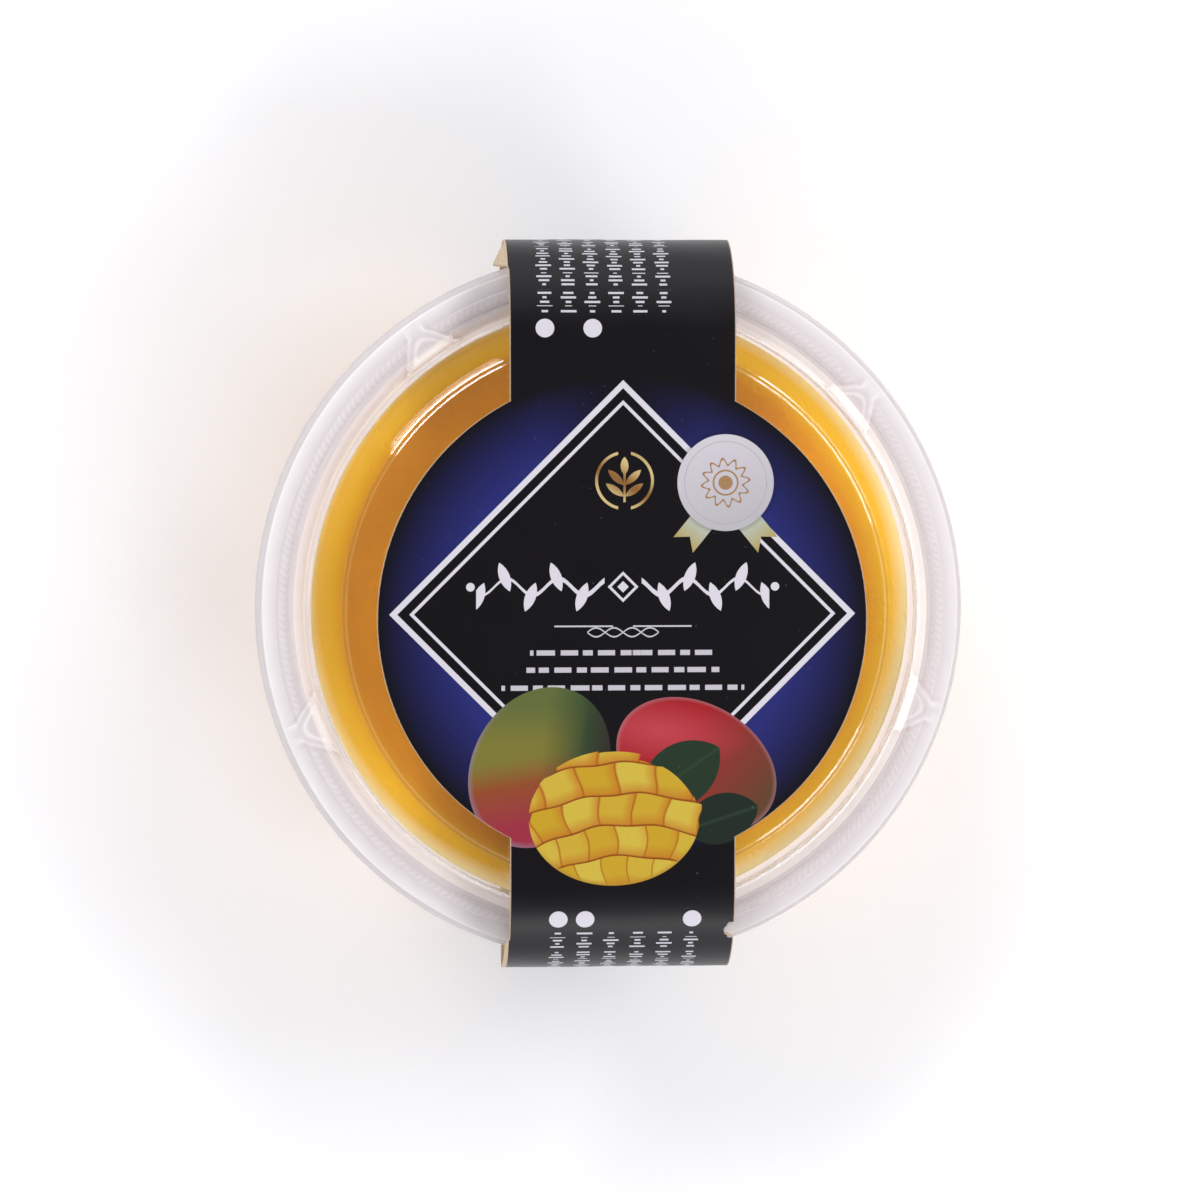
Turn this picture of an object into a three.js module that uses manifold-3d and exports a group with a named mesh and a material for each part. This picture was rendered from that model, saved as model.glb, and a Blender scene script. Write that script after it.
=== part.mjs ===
// A shut dessert cup of mango pudding in a card sleeve.
//
// Four pieces, from the inside out:
//   pudding  the set pudding, up to its level in the cup
//   cup      the clear tapered cup, with a foot ring, a shoulder and a flat flange
//   lid      the clear push-on lid: a raised panel with a bead round it, a round
//            shoulder, a ribbed band and small lugs
//   sleeve   the printed card band that runs once round the cup: a round panel on
//            top, a strap over the rim and down each side, and a glued strap beneath
//
// Millimetres, +Z up. The Z axis is the cup's own axis, and z = 0 is the flat
// underside of the sleeve, on which everything stands. -Y is the front.

import * as THREE from 'three';
import { mergeVertices } from 'three/addons/utils/BufferGeometryUtils.js';
import Module from 'manifold-3d';

const wasm = await Module();
wasm.setup();

// ---- Driving dimensions ----------------------------------------------------

const MOUTH_RADIUS = 50.5;        // outermost edge of the lid: a 101 mm cup
const GAP = 0.3;                  // clearance between pieces that touch
const SEGMENTS = 72;              // facets round every turned piece

// Sleeve
const BOARD = 0.45;               // thickness of the card
const STRAP_HALF_WIDTH = 15.8;
const DISC_RADIUS = 34.3;         // the round panel on top
const SLIP_X = 0.8;               // the sleeve sits slightly to one side,
const SLIP_Y = -1.1;              // and its disc slightly to the front
const BACK_BEND = { reach: 39.0, radius: 13.4 };   // looser bend over the rim
const FRONT_BEND = { reach: 38.0, radius: 13.3 };  // tighter bend over the rim
const FLAP_HALF_LENGTH = 13;      // the glued lap inside the strap beneath the cup

// Cup
const CUP_WALL = 0.7;
const FOOT_Z = BOARD + GAP;       // the cup stands on the sleeve's lower strap
const FOOT_RADIUS = 31.8;         // where the foot ring turns up into the wall
const FOOT_CORNER = 5.0;
const PUNT_RADIUS = 26.5;         // the hollow under the base
const PUNT_HEIGHT = 2.6;
const FOOT_RING = 3.5;            // width of the ring that the cup stands on
const SHOULDER = { radius: 44.1, z: 37.4, rise: 0.9 };  // top of the plain tapered wall
const NECK = { radius: 45.75, draft: 0.15, fillet: 0.7 };  // outside, above the shoulder
const CUP_FLANGE = { radius: 49.0, z: 41.0 };  // its edge and its underside

// Pudding
const FILL_Z = 36.0;              // level of the pudding

// Lid
const LID_WALL = 0.5;
const PANEL = { radius: 36.9, z: 51.35 };      // the flat raised panel
const BEAD = { outer: 38.25, height: 0.35, inside: 0.35, outside: 0.5, footZ: 51.3 };
const CROWN = { fall: 12, corner: 4.5, draft: 4 };  // gentle slope, round shoulder, wall
const GROOVE = { inner: 43.9, outer: 44.2, z: 41.6, chamfer: 0.3 };  // seats in the neck
const LID_FLANGE = { inner: 45.0, z: 42.5 };   // upper face of the flange
const RIB_BAND = { inner: 45.5, outer: 47.5, height: 0.25 };
const SKIRT = { radius: 49.8, waist: 49.35, waistZ: 40.0, lipZ: 38.7, lipHeight: 0.6 };
const LID_CORNER = 0.6;           // rounding of the skirt's edge
const LUG = { inner: 43.25, tip: 48.5, halfWidth: 3.6, height: 0.9, bevel: 0.25 };
const LUG_ANGLES = [40, 125.5, 201.5, 270, 342];  // degrees from +X

// ---- Outline and solid helpers ---------------------------------------------

const radians = THREE.MathUtils.degToRad;
const degrees = THREE.MathUtils.radToDeg;

/** Points on a circle about (x, y), from one angle in degrees to another. */
function arc(x, y, radius, from, to, steps) {
  const points = [];
  for (let i = 0; i <= steps; i += 1) {
    const angle = radians(from + ((to - from) * i) / steps);
    points.push([x + radius * Math.cos(angle), y + radius * Math.sin(angle)]);
  }
  return points;
}

/** Unit normal to the left of the step from one point to the next. */
function leftNormal([x0, y0], [x1, y1]) {
  const length = Math.hypot(x1 - x0, y1 - y0);
  return [-(y1 - y0) / length, (x1 - x0) / length];
}

/** The same open path moved sideways by a distance, to the left if positive. */
function offset(path, distance) {
  return path.map((point, i) => {
    const before = leftNormal(path[Math.max(i - 1, 0)], path[Math.max(i, 1)]);
    const last = path.length - 1;
    const after = leftNormal(path[Math.min(i, last - 1)], path[Math.min(i + 1, last)]);
    const miter = 1 + before[0] * after[0] + before[1] * after[1];
    return [
      point[0] + (distance * (before[0] + after[0])) / miter,
      point[1] + (distance * (before[1] + after[1])) / miter,
    ];
  });
}

/** A solid of revolution about Z from an outline of [radius, z] points. */
function turned(outline) {
  const points = outline.map(([radius, z]) => new THREE.Vector2(radius, z));
  return new THREE.LatheGeometry(points, SEGMENTS).rotateX(Math.PI / 2);
}

function toSolid(geometry) {
  const bare = geometry.clone();
  bare.deleteAttribute('normal');
  bare.deleteAttribute('uv');
  const merged = mergeVertices(bare, 1e-4);
  return new wasm.Manifold(new wasm.Mesh({
    numProp: 3,
    vertProperties: Float32Array.from(merged.attributes.position.array),
    triVerts: Uint32Array.from(merged.index.array),
  }));
}

function toGeometry(solid) {
  const mesh = solid.getMesh();
  const geometry = new THREE.BufferGeometry();
  geometry.setAttribute('position', new THREE.BufferAttribute(mesh.vertProperties, 3));
  geometry.setIndex(new THREE.BufferAttribute(mesh.triVerts, 1));
  const loose = geometry.toNonIndexed();
  loose.computeVertexNormals();
  return loose;
}

function fused(...geometries) {
  return toGeometry(geometries.map(toSolid).reduce((whole, solid) => whole.add(solid)));
}

// ---- Cup and pudding -------------------------------------------------------

/** The cup's outer face, from the middle of its base to the edge of its flange. */
function cupOuterFace() {
  const cornerZ = FOOT_Z + FOOT_CORNER;
  const rise = SHOULDER.z - cornerZ;
  const reach = SHOULDER.radius - FOOT_RADIUS;
  // The wall is the tangent from the shoulder to the corner's circle.
  const taper = Math.atan2(reach, rise) - Math.asin(FOOT_CORNER / Math.hypot(rise, reach));
  return [
    [0, FOOT_Z + PUNT_HEIGHT],
    [PUNT_RADIUS, FOOT_Z + PUNT_HEIGHT],
    [FOOT_RADIUS - FOOT_RING, FOOT_Z],
    ...arc(FOOT_RADIUS, cornerZ, FOOT_CORNER, -90, -degrees(taper), 6),
    [SHOULDER.radius, SHOULDER.z],
    [NECK.radius - NECK.draft, SHOULDER.z + SHOULDER.rise],
    [NECK.radius, CUP_FLANGE.z - NECK.fillet],
    [NECK.radius + NECK.fillet, CUP_FLANGE.z],
    [CUP_FLANGE.radius, CUP_FLANGE.z],
  ];
}

function cupGeometry() {
  const outside = cupOuterFace();
  const inside = offset(outside, CUP_WALL);
  return turned([...outside, ...inside.reverse()]);
}

/** The pudding takes the cup's inner shape, up to the fill level. */
function puddingGeometry() {
  const cast = offset(cupOuterFace(), CUP_WALL + GAP);
  const above = cast.findIndex(([, z]) => z > FILL_Z);
  const [r0, z0] = cast[above - 1];
  const [r1, z1] = cast[above];
  const edge = r0 + ((r1 - r0) * (FILL_Z - z0)) / (z1 - z0);
  return turned([...cast.slice(0, above), [edge, FILL_Z], [0, FILL_Z]]);
}

// ---- Lid -------------------------------------------------------------------

/**
 * The lid's shoulder: an arc that the gentle slope outside the bead and the
 * drafted wall down to the groove both touch.
 */
function lidShoulder() {
  const slope = radians(CROWN.fall);
  const lean = Math.tan(radians(CROWN.draft));
  const foot = { radius: GROOVE.inner - GROOVE.chamfer, z: GROOVE.z + GROOVE.chamfer };
  // Where the slope's line, moved in by the corner's radius, meets the wall's.
  const slopeZ = BEAD.footZ - CROWN.corner / Math.cos(slope);
  const wallRadius = foot.radius - CROWN.corner / Math.cos(radians(CROWN.draft));
  const fall = Math.tan(slope);
  const z = (slopeZ - fall * (wallRadius + foot.z * lean - BEAD.outer)) / (1 - fall * lean);
  const centre = { radius: wallRadius - lean * (z - foot.z), z };
  return arc(centre.radius, centre.z, CROWN.corner, 90 - CROWN.fall, CROWN.draft, 4);
}

/** The lid's upper face, from the middle of its panel to the lip of its skirt. */
function lidUpperFace() {
  const beadZ = PANEL.z + BEAD.height;
  const ribTopZ = LID_FLANGE.z + RIB_BAND.height;
  return [
    [0, PANEL.z],
    [PANEL.radius, PANEL.z],
    [PANEL.radius + BEAD.inside, beadZ],
    [BEAD.outer - BEAD.outside, beadZ],
    [BEAD.outer, BEAD.footZ],
    ...lidShoulder(),
    [GROOVE.inner - GROOVE.chamfer, GROOVE.z + GROOVE.chamfer],
    [GROOVE.inner, GROOVE.z],
    [GROOVE.outer, GROOVE.z],
    [LID_FLANGE.inner, LID_FLANGE.z],
    [RIB_BAND.inner, LID_FLANGE.z],
    [RIB_BAND.inner + RIB_BAND.height, ribTopZ],
    [RIB_BAND.outer - RIB_BAND.height, ribTopZ],
    [RIB_BAND.outer, LID_FLANGE.z],
    ...arc(SKIRT.radius - LID_CORNER, LID_FLANGE.z - LID_CORNER, LID_CORNER, 90, 0, 3),
    [SKIRT.radius, SKIRT.waistZ + LID_CORNER],
    [SKIRT.waist, SKIRT.waistZ],
    [MOUTH_RADIUS, SKIRT.lipZ + SKIRT.lipHeight],
    [MOUTH_RADIUS, SKIRT.lipZ],
  ];
}

/** A low three-cornered lug on the flange, with its point outwards. */
function lugGeometry(angle) {
  const outline = new THREE.Shape([
    new THREE.Vector2(LUG.inner, -LUG.halfWidth),
    new THREE.Vector2(LUG.tip, 0),
    new THREE.Vector2(LUG.inner, LUG.halfWidth),
  ]);
  const sunk = LID_WALL / 2;
  const geometry = new THREE.ExtrudeGeometry(outline, {
    depth: LUG.height + sunk - LUG.bevel,
    bevelThickness: LUG.bevel,
    bevelSize: LUG.bevel,
    bevelOffset: -LUG.bevel,
    bevelSegments: 1,
  });
  return geometry.translate(0, 0, LID_FLANGE.z - sunk).rotateZ(radians(angle));
}

function lidGeometry() {
  const above = lidUpperFace();
  const below = offset(above, -LID_WALL);
  const shell = turned([...below, ...above.reverse()]);
  return fused(shell, ...LUG_ANGLES.map(lugGeometry));
}

// ---- Sleeve ----------------------------------------------------------------

const SLEEVE_TOP_Z = PANEL.z + BEAD.height + GAP + BOARD;

/**
 * One side of the card's outer face, from the top down to the strap beneath: the
 * bend over the rim, a straight side, and the bend round the cup's foot. The
 * side is the common tangent of the two bends. side is 1 at the back and -1 at
 * the front. Each station is a place on the face and the face's direction there.
 */
function sideStations(bend, side) {
  const upper = { y: bend.reach, z: SLEEVE_TOP_Z - bend.radius, radius: bend.radius };
  const lower = { y: FOOT_RADIUS, z: FOOT_Z + FOOT_CORNER, radius: FOOT_Z + FOOT_CORNER };
  const span = Math.hypot(upper.y - lower.y, upper.z - lower.z);
  const towards = Math.atan2(upper.z - lower.z, upper.y - lower.y);
  const turn = Math.acos((lower.radius - upper.radius) / span);
  const tangent = degrees(towards - turn);
  const onArc = (circle, from, to, steps) => arc(0, 0, 1, from, to, steps).map(([ny, nz]) => ({
    y: side * (circle.y + circle.radius * ny),
    z: circle.z + circle.radius * nz,
    normal: [side * ny, nz],
    halfWidth: STRAP_HALF_WIDTH,
  }));
  return [...onArc(upper, 90, tangent, 14), ...onArc(lower, tangent, -90, 7)];
}

/** The flat top, from front to back, with stations spread evenly round the disc. */
function topStations() {
  const meeting = degrees(Math.acos(STRAP_HALF_WIDTH / DISC_RADIUS));
  return arc(0, 0, DISC_RADIUS, -meeting, meeting, 28).map(([halfWidth, rise]) => ({
    y: SLIP_Y + rise,
    z: SLEEVE_TOP_Z,
    normal: [0, 1],
    halfWidth,
  }));
}

/** The card as a closed band: a flat rectangle carried round the stations. */
function bandGeometry() {
  const stations = [
    ...topStations(),
    ...sideStations(BACK_BEND, 1),
    ...sideStations(FRONT_BEND, -1).reverse(),
  ];
  const corners = stations.flatMap(({ y, z, normal, halfWidth }) => {
    const inner = [y - BOARD * normal[0], z - BOARD * normal[1]];
    return [
      [SLIP_X - halfWidth, y, z],
      [SLIP_X + halfWidth, y, z],
      [SLIP_X + halfWidth, ...inner],
      [SLIP_X - halfWidth, ...inner],
    ];
  });
  const triangles = [];
  const count = stations.length;
  for (let i = 0; i < count; i += 1) {
    const here = 4 * i;
    const next = 4 * ((i + 1) % count);
    for (let k = 0; k < 4; k += 1) {
      const along = (k + 1) % 4;
      triangles.push(here + k, here + along, next + along);
      triangles.push(here + k, next + along, next + k);
    }
  }
  const geometry = new THREE.BufferGeometry();
  geometry.setAttribute('position', new THREE.Float32BufferAttribute(corners.flat(), 3));
  geometry.setIndex(triangles);
  return geometry;
}

function sleeveGeometry() {
  const sunk = BOARD / 2;
  const flap = new THREE.BoxGeometry(2 * STRAP_HALF_WIDTH, 2 * FLAP_HALF_LENGTH, BOARD + sunk);
  flap.translate(SLIP_X, 0, BOARD - sunk + (BOARD + sunk) / 2);
  return fused(bandGeometry(), flap);
}

// ---- The part --------------------------------------------------------------

function piece(name, geometry, finish) {
  const mesh = new THREE.Mesh(geometry, new THREE.MeshStandardMaterial(finish));
  mesh.name = name;
  return mesh;
}

const CLEAR = { color: 0xf2f4f6, roughness: 0.08, metalness: 0, transparent: true, opacity: 0.3 };

const group = new THREE.Group();
group.add(piece('pudding', puddingGeometry(), { color: 0xefaa38, roughness: 0.35, metalness: 0 }));
group.add(piece('cup', cupGeometry(), CLEAR));
group.add(piece('lid', lidGeometry(), CLEAR));
group.add(piece('sleeve', sleeveGeometry(), { color: 0x211e26, roughness: 0.45, metalness: 0 }));

export default group;
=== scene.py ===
"""A shut clear cup of mango pudding in a printed card sleeve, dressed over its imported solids.

Lengths are millimetres, turned to metres where a mesh, a light or the camera is made. The Z axis is
the cup's own axis, z = 0 is the table, and -Y is the front, as in the solids.
"""

import math

import bpy
import numpy as np
from mathutils import Matrix, Vector


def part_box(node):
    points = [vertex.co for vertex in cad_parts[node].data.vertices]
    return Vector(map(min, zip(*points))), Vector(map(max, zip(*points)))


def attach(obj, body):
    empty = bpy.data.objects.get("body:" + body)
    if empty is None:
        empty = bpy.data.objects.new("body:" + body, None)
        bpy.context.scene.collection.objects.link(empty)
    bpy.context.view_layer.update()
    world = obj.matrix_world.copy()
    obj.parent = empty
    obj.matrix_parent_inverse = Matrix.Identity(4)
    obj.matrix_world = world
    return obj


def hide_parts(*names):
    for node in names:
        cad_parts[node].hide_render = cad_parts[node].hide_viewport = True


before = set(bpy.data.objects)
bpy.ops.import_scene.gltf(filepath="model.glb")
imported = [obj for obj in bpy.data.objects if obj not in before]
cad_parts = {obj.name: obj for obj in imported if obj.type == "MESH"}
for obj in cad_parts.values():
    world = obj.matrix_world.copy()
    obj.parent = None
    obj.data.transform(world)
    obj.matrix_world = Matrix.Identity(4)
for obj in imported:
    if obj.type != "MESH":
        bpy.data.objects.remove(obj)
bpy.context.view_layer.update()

MM = 0.001


def node_mm(node):
    """Lowest and highest corner of one of the part's solids, in millimetres."""
    low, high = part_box(node)
    return np.array(low) / MM, np.array(high) / MM


# ---------------------------------------------------------------- driving sizes, in millimetres

lid_low, lid_high = node_mm("lid")
sleeve_low, sleeve_high = node_mm("sleeve")
_, pudding_high = node_mm("pudding")
cup_low, _ = node_mm("cup")

MOUTH_RADIUS = lid_high[0]
FILL_Z = pudding_high[2]
CARD_TOP_Z = sleeve_high[2]
STRAP_BACK = sleeve_high[1]
STRAP_FRONT = -sleeve_low[1]

CUP_WALL = 0.5
LID_WALL = 0.36
CARD = 0.42
PUDDING_INTO_WALL = 0.1

RIBS = 280
RING_COUNT = 360
SMALL_FILLET = 0.32

SLIP_X, SLIP_Y = 0.8, -1.1
DISC_RADIUS = 34.3
STRAP_HALF = 15.8


# ---------------------------------------------------------------- camera

RIM_PLANE_Z = 40.0
CAMERA_DISTANCE = 600.0
VIEW_WIDTH = 170.8
AIM = (-1.5, 1.15)
LEAN_LEFT = 4.3
LEAN_BACK = 2.4
SENSOR = 36.0


def place_camera():
    """A long lens almost straight above the cup, leaning a little to the left and to the back."""
    data = bpy.data.cameras.new("camera")
    data.sensor_width = SENSOR
    data.lens = SENSOR * CAMERA_DISTANCE / VIEW_WIDTH
    data.clip_start, data.clip_end = 0.01, 10.0
    camera = bpy.data.objects.new("camera", data)
    bpy.context.scene.collection.objects.link(camera)
    lean = Vector((-math.tan(math.radians(LEAN_LEFT)), math.tan(math.radians(LEAN_BACK)), 1.0))
    aim = Vector((*AIM, RIM_PLANE_Z))
    camera.location = (aim + lean.normalized() * CAMERA_DISTANCE) * MM
    back = lean.normalized()
    right = Vector((0, 1, 0)).cross(back).normalized()
    up = back.cross(right)
    turn = np.array([right, up, back]).T
    camera.rotation_mode = "QUATERNION"
    camera.rotation_quaternion = Matrix(turn.tolist()).to_quaternion()
    bpy.context.scene.camera = camera


place_camera()


# ---------------------------------------------------------------- outlines and meshes

def rounded(corners, steps=5, small_steps=5):
    """An outline with round corners: each row is radius, height and the fillet's radius there. A fillet
    is the arc that touches both straight sides, cut into equal turns, fewer of them where it is small."""
    corners = np.array(corners, float)
    points = [corners[0, :2]]
    for before, here, after in zip(corners[:-2], corners[1:-1], corners[2:]):
        corner, fillet = here[:2], here[2]
        into = before[:2] - corner
        out = after[:2] - corner
        into /= np.linalg.norm(into)
        out /= np.linalg.norm(out)
        half = math.acos(np.clip(into @ out, -1, 1)) / 2
        if fillet == 0 or half > math.radians(89.5):
            points.append(corner)
            continue
        middle = (into + out) / np.linalg.norm(into + out)
        centre = corner + middle * fillet / math.sin(half)
        first = corner + into * fillet / math.tan(half) - centre
        turn = (math.pi - 2 * half) * (1 if into[0] * out[1] - into[1] * out[0] < 0 else -1)
        for t in np.linspace(0, turn, (steps if fillet > SMALL_FILLET else small_steps) + 1):
            c, s = math.cos(t), math.sin(t)
            points.append(centre + (first[0] * c - first[1] * s, first[0] * s + first[1] * c))
    points.append(corners[-1, :2])
    return np.array(points)


def sideways(path, distance):
    """The same open outline moved to its left by a distance, with mitred corners. An end on the axis
    stays on it."""
    step = np.diff(path, axis=0)
    step /= np.linalg.norm(step, axis=1)[:, None]
    left = np.c_[-step[:, 1], step[:, 0]]
    before = np.vstack([left[:1], left])
    after = np.vstack([left, left[-1:]])
    moved = path + distance * (before + after) / (1 + (before * after).sum(1))[:, None]
    moved[path[:, 0] == 0, 0] = 0
    return moved


def filled_in(path, longest):
    """The outline with points added so that no step is longer than a given length."""
    points = [path[:1]]
    for a, b in zip(path[:-1], path[1:]):
        n = max(1, math.ceil(np.linalg.norm(b - a) / longest))
        points.append(a + (b - a) * (np.arange(1, n + 1) / n)[:, None])
    return np.vstack(points)


def bridge(a, count_a, b, count_b):
    """Triangles between two rings of points whose first numbers are a and b. Counts are equal, or one is
    1, or one divides the other evenly, so that each coarse point takes a fan of the finer ring."""
    if count_a > count_b:
        return bridge(b, count_b, a, count_a)[:, ::-1]
    fine = np.arange(count_b)
    following = (fine + 1) % count_b
    if count_a == 1:
        return np.c_[np.full(count_b, a), b + fine, b + following]
    share = count_b // count_a
    nearest = ((fine + share // 2) // share) % count_a
    fans = np.c_[a + nearest, b + fine, b + following]
    coarse = np.arange(count_a)
    meets = b + (coarse * share + (share + 1) // 2) % count_b
    closing = np.c_[a + coarse, meets, a + (coarse + 1) % count_a]
    return np.vstack([fans, closing])


def turned(path, counts, reshape=None):
    """A closed surface of revolution. Point i of the outline becomes counts[i] points evenly round the
    axis, and reshape(radius, height, angle, i) may give them new heights."""
    starts = np.concatenate([[0], np.cumsum(counts)])
    ring = np.repeat(np.arange(len(path)), counts)
    angle = (np.arange(starts[-1]) - starts[ring]) * 2 * math.pi / np.array(counts)[ring]
    radius, height = path[ring, 0], path[ring, 1]
    if reshape:
        height = reshape(radius, height, angle, ring)
    points = np.c_[radius * np.cos(angle), radius * np.sin(angle), height]
    bands = [
        bridge(starts[i], counts[i], starts[i + 1], counts[i + 1]) for i in range(len(path) - 1)
    ]
    return points, np.vstack(bands)


def ring_counts(path, finer=1):
    """One point on the axis, and elsewhere the usual number round, as many times finer as asked."""
    return np.where(path[:, 0] == 0, 1, RING_COUNT * finer)


def smooth_step(low, high, value):
    """0 up to low, 1 from high on, and an S-curve between."""
    t = np.clip((value - low) / (high - low), 0, 1)
    return t * t * (3 - 2 * t)


def make_piece(name, points, faces, materials, node, which=None, crease=50, attributes=()):
    """A mesh object from points in millimetres and an array of faces, with the number of its material
    for each face. Edges that turn more than crease degrees stay sharp."""
    mesh = bpy.data.meshes.new(name)
    mesh.from_pydata((points * MM).tolist(), [], faces.tolist())
    for attribute, values in dict(attributes).items():
        kind = "FLOAT" if values.ndim == 1 else "FLOAT_VECTOR"
        layer = mesh.attributes.new(attribute, kind, "POINT")
        layer.data.foreach_set("value" if values.ndim == 1 else "vector", values.ravel())
    mesh.shade_smooth()
    mesh.set_sharp_from_angle(angle=math.radians(crease))
    for material in materials:
        mesh.materials.append(material)
    if which is not None:
        mesh.polygons.foreach_set("material_index", which.astype(np.int32))
    mesh.update()
    piece = bpy.data.objects.new(name, mesh)
    bpy.context.scene.collection.objects.link(piece)
    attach(piece, "root")
    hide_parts(node)
    return piece


# ---------------------------------------------------------------- material helpers

def srgb(red, green, blue):
    """A colour given as it looks on screen, 0 to 255, as the linear numbers that a shader takes."""
    c = np.array([red, green, blue]) / 255
    linear = np.where(c <= 0.04045, c / 12.92, ((c + 0.055) / 1.055) ** 2.4)
    return (*linear.tolist(), 1.0)


def ink(red, green, blue):
    """A printed colour given as it looks on screen under the bright lamps, so made darker by a quarter."""
    return tuple(0.76 * c for c in srgb(red, green, blue)[:3]) + (1.0,)


class Field:
    """A number that changes over a surface: one output of a node, with ordinary arithmetic."""

    def __init__(self, tree, socket):
        self.tree, self.socket = tree, socket

    def maths(self, operation, *others, clamp=False):
        node = self.tree.nodes.new("ShaderNodeMath")
        node.operation = operation
        node.use_clamp = clamp
        for socket, value in zip(node.inputs, others):
            if isinstance(value, Field):
                self.tree.links.new(value.socket, socket)
            else:
                socket.default_value = value
        return Field(self.tree, node.outputs[0])

    def __add__(self, other):
        return self.maths("ADD", self, other)

    def __sub__(self, other):
        return self.maths("SUBTRACT", self, other)

    def __rsub__(self, other):
        return self.maths("SUBTRACT", other, self)

    def __mul__(self, other):
        return self.maths("MULTIPLY", self, other)

    def __truediv__(self, other):
        return self.maths("DIVIDE", self, other)

    def __abs__(self):
        return self.maths("ABSOLUTE", self)

    __radd__ = __add__
    __rmul__ = __mul__

    def times_plus(self, factor, addend, clamp=False):
        return self.maths("MULTIPLY_ADD", self, factor, addend, clamp=clamp)

    def sine(self):
        return self.maths("SINE", self)

    def root(self):
        return self.maths("SQRT", self)

    def floor(self):
        return self.maths("FLOOR", self)

    def part(self):
        return self.maths("FRACT", self)

    def least(self, other):
        return self.maths("MINIMUM", self, other)

    def most(self, other):
        return self.maths("MAXIMUM", self, other)

    def rise(self, low, high):
        """0 up to low and 1 from high on, straight between; falls instead where high is the lower."""
        return self.times_plus(1 / (high - low), -low / (high - low), clamp=True)

    def inside(self, blur=0.05):
        """1 where a signed distance is below 0, with an edge as soft as the blur."""
        return self.rise(blur / 2, -blur / 2)


def distance(x, y, cx, cy):
    """Distance from a point."""
    across, up = x - cx, y - cy
    return (across * across + up * up).root()


def oval(x, y, cx, cy, a, b, degrees=0):
    """Near its edge, the signed distance to an ellipse of half-lengths a and b, turned anticlockwise."""
    c, s = math.cos(math.radians(degrees)), math.sin(math.radians(degrees))
    across, up = x - cx, y - cy
    along = (across * (c / a)) + (up * (s / a))
    aside = (up * (c / b)) - (across * (s / b))
    return ((along * along + aside * aside).root() - 1) * min(a, b)


def band(signed, middle, width):
    """Signed distance to a stripe of the given width round a contour of another distance."""
    return abs(signed - middle) - width / 2


def leaf(x, y, base, tip, width):
    """Signed distance to a pointed leaf: where two equal discs overlap, from its base to its tip."""
    along = np.subtract(tip, base)
    length = np.linalg.norm(along)
    normal = np.array([-along[1], along[0]]) / length
    radius = (length * length / 4 + width * width / 4) / width
    middle = np.add(base, tip) / 2
    shift = normal * (radius - width / 2)
    one = distance(x, y, *(middle + shift))
    other = distance(x, y, *(middle - shift))
    return one.most(other) - radius


class Paint:
    """A colour that is built up from the card outwards, one layer of ink over another."""

    def __init__(self, tree, colour):
        self.tree, self.colour = tree, colour

    def mixed(self, under, over, share):
        node = self.tree.nodes.new("ShaderNodeMix")
        node.data_type = "RGBA"
        for key, value in ((0, share), (6, under), (7, over)):
            if isinstance(value, Field):
                self.tree.links.new(value.socket, node.inputs[key])
            elif isinstance(value, bpy.types.NodeSocket):
                self.tree.links.new(value, node.inputs[key])
            else:
                node.inputs[key].default_value = value
        return node.outputs[2]

    def over(self, layer, share):
        self.colour = self.mixed(self.colour, layer, share)
        return self


def new_material(name):
    """A material with its node tree emptied but for the output, and a Principled shader."""
    material = bpy.data.materials.new(name)
    material.use_nodes = True
    tree = material.node_tree
    tree.nodes.clear()
    output = tree.nodes.new("ShaderNodeOutputMaterial")
    shader = tree.nodes.new("ShaderNodeBsdfPrincipled")
    tree.links.new(shader.outputs[0], output.inputs["Surface"])
    return material, tree, shader, output


def texture(tree, kind, where, scale, **sockets):
    """A noise or cell texture node read at a given vector, with its other inputs set."""
    node = tree.nodes.new(kind)
    tree.links.new(where, node.inputs["Vector"])
    node.inputs["Scale"].default_value = scale
    for name, value in sockets.items():
        node.inputs[name].default_value = value
    return node


def apart(tree, vector):
    """The three parts of a vector, each as a field."""
    split = tree.nodes.new("ShaderNodeSeparateXYZ")
    tree.links.new(vector, split.inputs[0])
    return [Field(tree, socket) for socket in split.outputs]


def object_place(tree):
    """Object coordinates, which are metres in the part's own frame."""
    return tree.nodes.new("ShaderNodeTexCoord").outputs["Object"]


def bump(tree, height, strength, depth, shader):
    """Relief on a shader's normal from a height field, depth in metres."""
    node = tree.nodes.new("ShaderNodeBump")
    node.inputs["Strength"].default_value = strength
    node.inputs["Distance"].default_value = depth
    tree.links.new(height, node.inputs["Height"])
    tree.links.new(node.outputs[0], shader.inputs["Normal"])


# ---------------------------------------------------------------- clear plastic

def moulded_skin():
    """A node group for formed plastic: slow waves in the sheet, and a patchy haze on it."""
    group = bpy.data.node_groups.new("moulded_skin", "ShaderNodeTree")
    group.interface.new_socket("Vector", in_out="INPUT", socket_type="NodeSocketVector")
    group.interface.new_socket("Haze", in_out="INPUT", socket_type="NodeSocketFloat")
    group.interface.new_socket("Roughness", in_out="OUTPUT", socket_type="NodeSocketFloat")
    group.interface.new_socket("Height", in_out="OUTPUT", socket_type="NodeSocketFloat")
    given = group.nodes.new("NodeGroupInput").outputs
    result = group.nodes.new("NodeGroupOutput").inputs
    waves = texture(group, "ShaderNodeTexNoise", given["Vector"], 90, Detail=1.0)
    wave = Field(group, waves.outputs["Fac"])
    group.links.new((wave.rise(0.3, 0.8) * Field(group, given["Haze"]) + 0.01).socket, result["Roughness"])
    group.links.new(wave.socket, result["Height"])
    return group


SKIN = moulded_skin()
# Colours of painted light on the milky plastic: white for a painted highlight on raised edges, brown for a
# painted shade in hollows.
PAINTED_HIGHLIGHT = (1.0, 1.0, 1.0, 1)
PAINTED_HOLLOW_SHADE = (0.6, 0.5, 0.46, 1)


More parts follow.
